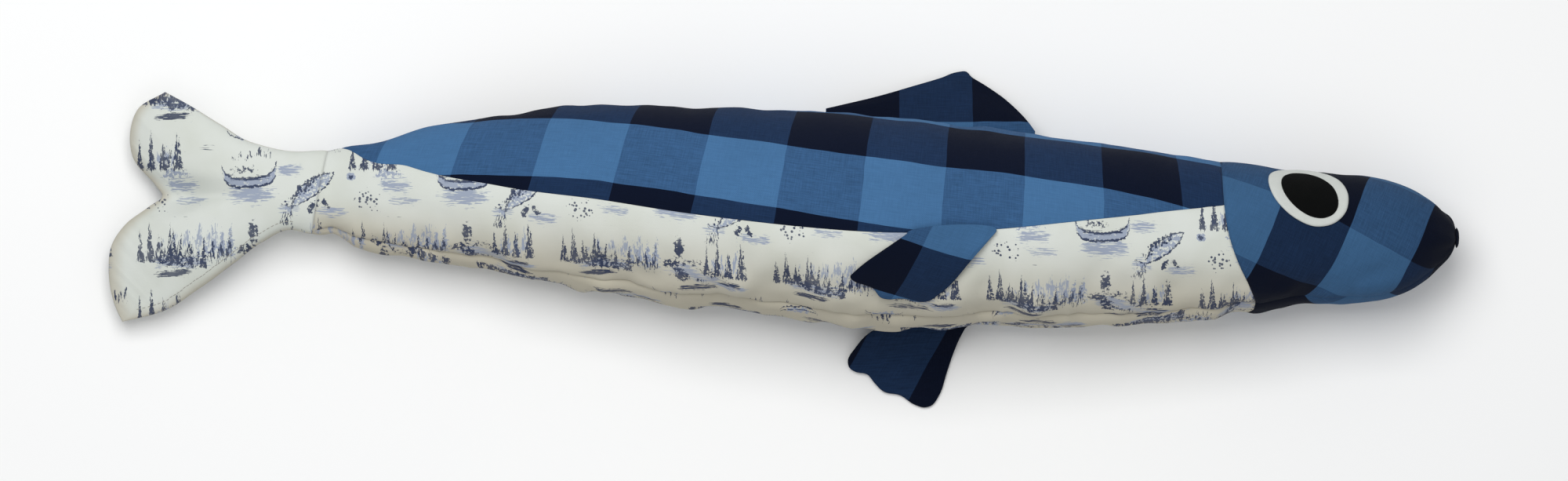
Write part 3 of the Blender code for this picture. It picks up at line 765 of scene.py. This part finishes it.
# ---- Filling --------------------------------------------------------------
# Polyester fibre, one wad in the body and one in the tail, pushed in through the tail
# before it was closed. It fills the panels from inside and shows nowhere.
def fibre_filling(name):
    """White fibre: fine strands in the bump, and faint grey patches of painted shade in the
    colour, as of hollows.
    """
    make = Nodes(name)
    place = make.place()
    strands = make.noise(make.stretch(place, (300.0, 900.0, 300.0)), 1.0, 5.0, 0.7)
    painted_hollow_shade = make.noise(place, 90.0, 3.0)
    # Painted shade: random grey patches stand in for the shade in the fibre's hollows.
    colour = make.mix(painted_hollow_shade, linear(226, 226, 222), linear(244, 244, 241))
    return make.cloth(colour, strands, 0.8, 0.001, 0.95, 0.3)


FIBRE = fibre_filling("polyester_fibre")
FIBRE_INSET = 0.0016

u, v = unit_grid(150, 96)
ring = np.minimum(u * 12, 1.0)
x = TAIL_SEAM_X + 0.002 + (NOSE_X - TAIL_SEAM_X - 0.005) * np.clip((u * 12 - 1) / 11, 0, 1)
around = 2 * pi * v
flank = np.where(around <= pi, 1.0, -1.0)
x, y, z = skin(x, np.where(around <= pi, around, 2 * pi - around), flank, -FIBRE_INSET)
middle_y, middle_z = section(x)[:2]
points = (x, middle_y + ring * (y - middle_y), middle_z + ring * (z - middle_z))
wad = sew("body_fibre", points, (u, v), True, wall=0)
dress(wad, FIBRE, ["body_filling"])
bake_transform(wad)

u, v = unit_grid(90, 120)
spread = 0.97 * (1 - (1 - u) ** 1.3)
side = np.where(v <= 0.5, 1.0, -1.0)
across = np.clip(np.where(v <= 0.5, 2 * v, 2 - 2 * v), 0.02, 0.98)
x, y, z = tail_face(spread, across, side)
middle = tail_z - TAIL_REST_DROP * spread ** 1.5
ring = np.minimum(np.minimum(u * 12, 1.0), (1 - u) * 30) ** 0.5
keep = ring * np.maximum(np.abs(z - middle) - FIBRE_INSET, 0.0) / (np.abs(z - middle) + 1e-9)
points = (x, y, middle + (z - middle) * keep)
wad = sew("tail_fibre", points, (u, v), False, wall=0)
dress(wad, FIBRE, ["tail_filling"])
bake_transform(wad)


# ---- Dorsal fin -----------------------------------------------------------
# Two plies of the check, sewn right sides together round the outer edge, turned and
# pressed, with the raw edge caught in the back seam. It droops towards the floor.
FIN_STANDOFF, PLY_PUFF = 0.0026, 0.0011
DORSAL_ROOT, DORSAL_REACH, DORSAL_DROOP = (0.0280, 0.1680), 0.0485, np.radians(30.0)
DORSAL_EDGE = np.array([(0.0, 0.15), (0.2, 0.38), (0.4, 0.64), (0.55, 0.84), (0.64, 0.98),
                        (0.665, 1.0), (0.7, 0.92), (0.76, 0.82), (0.84, 0.66),
                        (0.91, 0.47), (0.96, 0.31), (1.0, 0.15)])


def root_line(root, turn, flank):
    """The line a fin swings about: its tail end and its head end, above the cloth."""
    ends = np.array(root)
    middle_y, middle_z, half_high, half_thick = section(ends)
    angle = flank * turn(ends) - ROLL
    return np.stack((ends, middle_y + (half_high + FIN_STANDOFF) * np.cos(angle),
                     middle_z + (half_thick + FIN_STANDOFF) * np.sin(angle)), axis=1)


def fin_outline(edge, root, reach, u, v):
    """How far along the root and how far out a fin's point (u, v) lies: straight lines
    from the root to a smooth free edge."""
    out_x, out = rounded(edge, u)
    length = root[1] - root[0]
    tuck = 0.0045 * np.sin(pi * u) ** 0.5
    return root[0] + length * ((1 - v) * u + v * out_x), (reach * out + tuck) * v - tuck


def ply_face(u, v, edge, root, reach, face, seed):
    """The offset of a ply from the fin's middle sheet: a soft puff between the seams, small
    puckers along the free edge, and the fin's own long waves, which both plies share."""
    x, out = fin_outline(edge, root, reach, u, v)
    rim = np.minimum(np.minimum(1 - v, 3 * u), 3 * (1 - u))
    puff = PLY_PUFF * ease(0.0, 0.30, rim)
    pucker = 0.0005 * gathers(x + out, 0.008, seed) * np.exp(-rim / 0.15) * ease(0.0, 0.05, rim)
    wave = 0.0013 * lumps((x, out, 0 * x), 0.034, seed + 3) * ease(0.1, 0.8, v)
    return x, out, face * (COTTON + puff + pucker) + wave


def level(ends, x):
    """The y and z at x of a fin's root line, carried straight on past its ends."""
    slope = (ends[1] - ends[0]) / (ends[1, 0] - ends[0, 0])
    return ends[0, 1] + slope[1] * (x - ends[0, 0]), ends[0, 2] + slope[2] * (x - ends[0, 0])


# Painted shade: the fins' check is the same cloth made darker, standing in for the shade on the
# fins.
SHADED_FIN_CHECK = check_cotton("fin_check_cotton_painted_shade", 0.74)
FIN_HALVES = ((1, "upper"), (-1, "lower"))


def fin_ply(fin, half, points, chart, flip):
    """Sew one ply, give it the fin's check, and hide the imported ply it stands for."""
    ply = sew(f"{fin}_{half}_cloth", points, chart, flip)
    dress(ply, SHADED_FIN_CHECK, [f"{fin}_{half}_ply"])
    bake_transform(ply)


DORSAL_MIDDLE_X, DORSAL_CUT, DORSAL_AREA = 0.098, (0.1400, 0.0530), 0.0045

u, v = unit_grid(120, 48)
ends = root_line(DORSAL_ROOT, lambda x: 0 * x, 1)
middle_y, middle_z = level(ends, DORSAL_MIDDLE_X)
for face, half in FIN_HALVES:
    x, out, lift = ply_face(u, v, DORSAL_EDGE, DORSAL_ROOT, DORSAL_REACH, face, 41)
    y, z = level(ends, x)
    y = y + out * np.cos(DORSAL_DROOP) + lift * np.sin(DORSAL_DROOP)
    z = z - out * np.sin(DORSAL_DROOP) + lift * np.cos(DORSAL_DROOP)
    chart = ((x - 0.0773) / 0.049 + 1, (out - 0.125 * (x - 0.058)) / 0.046)
    fin_ply("dorsal_fin", half, (x, y, z), chart, face < 0)


# ---- Pectoral fins --------------------------------------------------------
# A pair cut like hands with blunt fingers, of two plies of the check each, caught in the
# side seams. The right one lies on the belly, the left one on the floor beside it.
PECTORAL_ROOT, PECTORAL_REACH_RIGHT, PECTORAL_REACH_LEFT = (0.0810, 0.1400), 0.0450, 0.0640
FIN_MIDDLE_X, PECTORAL_LANDING, LAID_HEIGHT = 0.1105, 0.0340, 0.0030
RIGHT_EDGE = np.array([(0.0, 0.03), (-0.28, 0.24), (-0.6, 0.56), (-0.635, 0.61),
                       (-0.6, 0.665), (-0.49, 0.72), (-0.37, 0.79), (-0.335, 0.86),
                       (-0.29, 0.935), (-0.2, 0.965), (-0.09, 0.945), (0.0, 0.95),
                       (0.13, 1.0), (0.24, 0.985), (0.34, 0.89), (0.43, 0.79),
                       (0.72, 0.38), (1.0, 0.03)])
LEFT_EDGE = np.array([(0.0, 0.03), (-0.22, 0.1), (-0.436, 0.205), (-0.56, 0.33),
                      (-0.647, 0.466), (-0.63, 0.539), (-0.56, 0.586), (-0.425, 0.62),
                      (-0.34, 0.717), (-0.24, 0.808), (-0.054, 0.856), (0.114, 0.963),
                      (0.229, 0.998), (0.3, 0.985), (0.397, 0.873), (0.468, 0.686),
                      (0.539, 0.456), (0.64, 0.24), (0.8, 0.11), (1.0, 0.03)])
RIGHT_LIFT = 0.0012

u, v = unit_grid(110, 56)
ends = root_line(PECTORAL_ROOT, side_seam, 1)
for face, half in FIN_HALVES:
    x, out, lift = ply_face(u, v, RIGHT_EDGE, PECTORAL_ROOT, PECTORAL_REACH_RIGHT, face, 51)
    half_high, half_thick = section(x)[2:]
    turn = side_seam(x) + out / ((half_high + half_thick) / 2)
    angle = turn - ROLL
    proud = FIN_STANDOFF + lift + RIGHT_LIFT * ease(0.002, 0.012, out)
    middle_y, middle_z = section(x)[:2]
    y = middle_y + (half_high + proud) * np.cos(angle)
    z = middle_z + (half_thick + proud) * np.sin(angle)
    along = x - PECTORAL_ROOT[0]
    chart = ((along - 0.011 + 0.59 * (out - 0.0068)) / 0.052 + 1,
             (out - 0.0037 - 0.307 * (along + 0.0016)) / 0.038)
    fin_ply("pectoral_fin_right", half, (x, y, z), chart, face > 0)

ends = root_line(PECTORAL_ROOT, side_seam, -1)
middle_y, middle_z = level(ends, FIN_MIDDLE_X)
for face, half in FIN_HALVES:
    x, out, lift = ply_face(u, v, LEFT_EDGE, PECTORAL_ROOT, PECTORAL_REACH_LEFT, face, 61)
    y, z = level(ends, x)
    share = np.clip(out / PECTORAL_LANDING, 0, 1)
    fall = z - LAID_HEIGHT
    tilt = np.arctan(fall * 6 * share * (1 - share) / PECTORAL_LANDING)
    z = LAID_HEIGHT + fall * (1 - share ** 2 * (3 - 2 * share))
    points = (x, y - out - lift * np.sin(tilt), np.maximum(z + lift * np.cos(tilt), 0.0006))
    chart = ((x - PECTORAL_ROOT[0] + 0.55 * out + 0.0183) / 0.053 + 1, (out + 0.020) / 0.090)
    fin_ply("pectoral_fin_left", half, points, chart, face > 0)


# ---- Eyes -----------------------------------------------------------------
# An oval of white wool felt with a smaller black one on it, glued to each side of the
# head. The felt is cut with scissors, so its edge is soft and a little uneven.
EYE_X, EYE_TURN, EYE_TILT = 0.3476, np.radians(70.6), np.radians(-43.0)
WHITE_RADII, PUPIL_RADII, PUPIL_SHIFT = (0.0288, 0.0236), (0.0213, 0.0156), (0.0008, -0.0026)
FELT_THICK = 0.0013


def felt(name, low, high, fuzz):
    """Pressed wool: short fibres every way in the bump, and a faint mottle."""
    make = Nodes(name)
    place = make.place()
    bent = make.add("TexNoise", {"Vector": place, "Scale": 260.0}).outputs[1]
    warped = make.add("VectorMath", {0: bent, 1: (0.012, 0.012, 0.012), 2: place},
                      operation="MULTIPLY_ADD").outputs[0]
    fibre = make.noise(make.stretch(warped, (2600.0, 700.0, 2600.0)), 1.0, 4.0, 0.7)
    pile = make.noise(place, 900.0, 3.0, 0.7)
    mottle = make.noise(place, 120.0, 3.0)
    colour = make.mix(make.ramp(fibre, 0.6, make.times(mottle, 0.4)), low, high)
    return make.cloth(colour, make.plus(fibre, pile), 0.5, 0.0005, 0.95, fuzz)


WHITE_FELT = felt("white_wool_felt", linear(188, 192, 187), linear(214, 217, 212), 0.1)
BLACK_FELT = felt("black_wool_felt", linear(3, 4, 4), linear(12, 13, 12), 0.01)


def felt_oval(radii, shift, flank, floor, seed):
    """A closed oval of felt on the head: rings run out over its face, round its edge, and
    back in under it. The edge wanders by a quarter of a millimetre."""
    s, t = unit_grid(40, 120)
    ring = np.where(s < 0.6, s / 0.6, np.where(s < 0.75, 1.0, (1 - s) / 0.25))
    rise = np.where(s < 0.6, 1.0, np.clip((0.75 - s) / 0.15, 0, 1))
    round_edge = np.sqrt(np.maximum(1 - np.clip((ring - 0.94) / 0.06, 0, 1) ** 2, 0))
    height = floor + FELT_THICK * rise * (0.45 + 0.55 * round_edge)
    turn_round = 2 * pi * t
    wander = 1 + 0.010 * lumps((np.cos(turn_round), np.sin(turn_round), 0 * t), 0.35, seed)
    long_way = radii[0] * ring * wander * np.cos(turn_round)
    short_way = radii[1] * ring * wander * np.sin(turn_round)
    x = EYE_X + shift[0] + long_way * np.cos(EYE_TILT) - short_way * np.sin(EYE_TILT)
    up = shift[1] + long_way * np.sin(EYE_TILT) + short_way * np.cos(EYE_TILT)
    half_high, half_thick = section(x)[2:]
    turn = EYE_TURN - up / ((half_high + half_thick) / 2)
    return skin(x, turn, flank, height), (s, t)


for flank, side in FLANKS:
    points, chart = felt_oval(WHITE_RADII, (0.0, 0.0), flank, 0.0004, 71)
    white = sew(f"eye_white_{side}", points, chart, flank > 0, wall=0)
    dress(white, WHITE_FELT, [f"eye_white_{side}"])
    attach(white, "body")
    points, chart = felt_oval(PUPIL_RADII, PUPIL_SHIFT, flank, 0.0004 + FELT_THICK, 73)
    pupil = sew(f"eye_pupil_{side}", points, chart, flank > 0, wall=0)
    dress(pupil, BLACK_FELT, [f"pupil_{side}"])
    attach(pupil, "body")


# ---- Closing stitches -----------------------------------------------------
# The tail was closed by machine along its lower edge after stuffing, in pale polyester
# thread, a few millimetres in from the fold.
STITCH_COUNT, STITCH_LONG, THREAD_THICK, STITCH_INSET = 43, 0.0023, 0.00042, 0.0055
STITCH_START, STITCH_END, SEARCH_STEPS = 0.08, 0.93, 90


def sewing_thread(name):
    """Twisted pale thread: a fine diagonal ply in the bump."""
    make = Nodes(name)
    place = make.place()
    parts = make.split(place)
    twist = make.math("SINE", make.times(make.plus(parts[0], parts[1]), 9000.0))
    colour = make.mix(make.noise(place, 700.0), linear(128, 126, 120), linear(170, 168, 158))
    return make.cloth(colour, twist, 0.4, 0.0001, 0.7, 0.1)


def run_inside_edge(outline_u, inset):
    """Points on the tail's lower edge moved in from it: for each place along the edge the
    way in across the panel is searched for the given distance."""
    across = np.linspace(1.0, 0.55, SEARCH_STEPS)
    x, y = tail_face(*np.broadcast_arrays(outline_u[:, None], across), 1.0)[:2]
    far = np.hypot(x - x[:, :1], y - y[:, :1])
    return across[np.argmax(far > inset, axis=1)]


edge_u = np.linspace(STITCH_START, STITCH_END, STITCH_COUNT)
edge_v = run_inside_edge(edge_u, STITCH_INSET)
middle = np.stack(tail_face(1 * edge_u, edge_v, 1.0), axis=-1)
way = np.gradient(middle, axis=0)
way = way / np.linalg.norm(way, axis=1, keepdims=True)
a, b = np.meshgrid(np.linspace(0, pi, 7), np.linspace(0, 2 * pi, 9), indexing="ij")
bar_long = -np.cos(a) * STITCH_LONG / 2
bar_wide = np.sin(a) ** 0.5 * THREAD_THICK / 2 * np.cos(b)
bar_high = np.sin(a) ** 0.5 * THREAD_THICK / 2 * np.sin(b) + 0.0001
beside = np.cross(way, (0.0, 0.0, 1.0))
spots = (middle[:, None, None] + way[:, None, None] * bar_long[None, ..., None]
         + beside[:, None, None] * bar_wide[None, ..., None]
         + np.array((0.0, 0.0, 1.0)) * bar_high[None, ..., None])
faces = grid_faces(6, 8)
faces = (faces[None] + a.size * np.arange(STITCH_COUNT)[:, None, None]).reshape(-1, 4)
stitches = shape("tail_closing_stitches", spots, faces)
stitches.data.materials.append(sewing_thread("pale_thread"))
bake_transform(stitches)


# ---- Floor, lights and camera ---------------------------------------------
# A plain pale tabletop under soft light from nearly overhead, seen straight down through
# a long lens.
VIEW_HEIGHT, VIEW_WIDE, LENS, SENSOR = 0.055, 1.044, 200.0, 36.0
FLOOR_REACH, ROOM_LIGHT = 15.0, 0.38

corners = np.array([(-1, -1, 0), (1, -1, 0), (1, 1, 0), (-1, 1, 0)]) * FLOOR_REACH
tabletop = shape("tabletop", corners, np.array([(0, 1, 2, 3)]))
make = Nodes("pale_tabletop")
place = make.place()
tone = make.mix(make.noise(place, 3.0), linear(243, 243, 242), linear(246, 246, 245))
make.cloth(tone, make.noise(place, 400.0), 0.05, 0.0001, 0.7, 0.0)
tabletop.data.materials.append(make.material)


def soft_light(name, place, turn, wide, power):
    """A square soft box, turned in degrees."""
    lamp = bpy.data.lights.new(name, "AREA")
    lamp.shape, lamp.size, lamp.energy = "SQUARE", wide, power
    box = bpy.data.objects.new(name, lamp)
    box.location, box.rotation_euler = place, np.radians(turn)
    bpy.context.scene.collection.objects.link(box)


soft_light("key_light", (-0.3, 0.9, 2.4), (-20.0, 0.0, 0.0), 1.6, 47.0)
soft_light("fill_light", (0.2, -0.8, 2.6), (16.0, 0.0, 0.0), 2.4, 11.0)
world = bpy.data.worlds.new("pale_room")
world.use_nodes = True
backdrop = world.node_tree.nodes["Background"]
backdrop.inputs[0].default_value = (0.95, 0.97, 1.0, 1.0)
backdrop.inputs[1].default_value = ROOM_LIGHT
bpy.context.scene.world = world
bpy.context.scene.view_settings.view_transform = "Standard"

lens = bpy.data.cameras.new("camera")
lens.lens, lens.sensor_width = LENS, SENSOR
camera = bpy.data.objects.new("camera", lens)
camera.location = (0.0, 0.0, VIEW_HEIGHT + VIEW_WIDE * LENS / SENSOR)
bpy.context.scene.collection.objects.link(camera)
bpy.context.scene.camera = camera
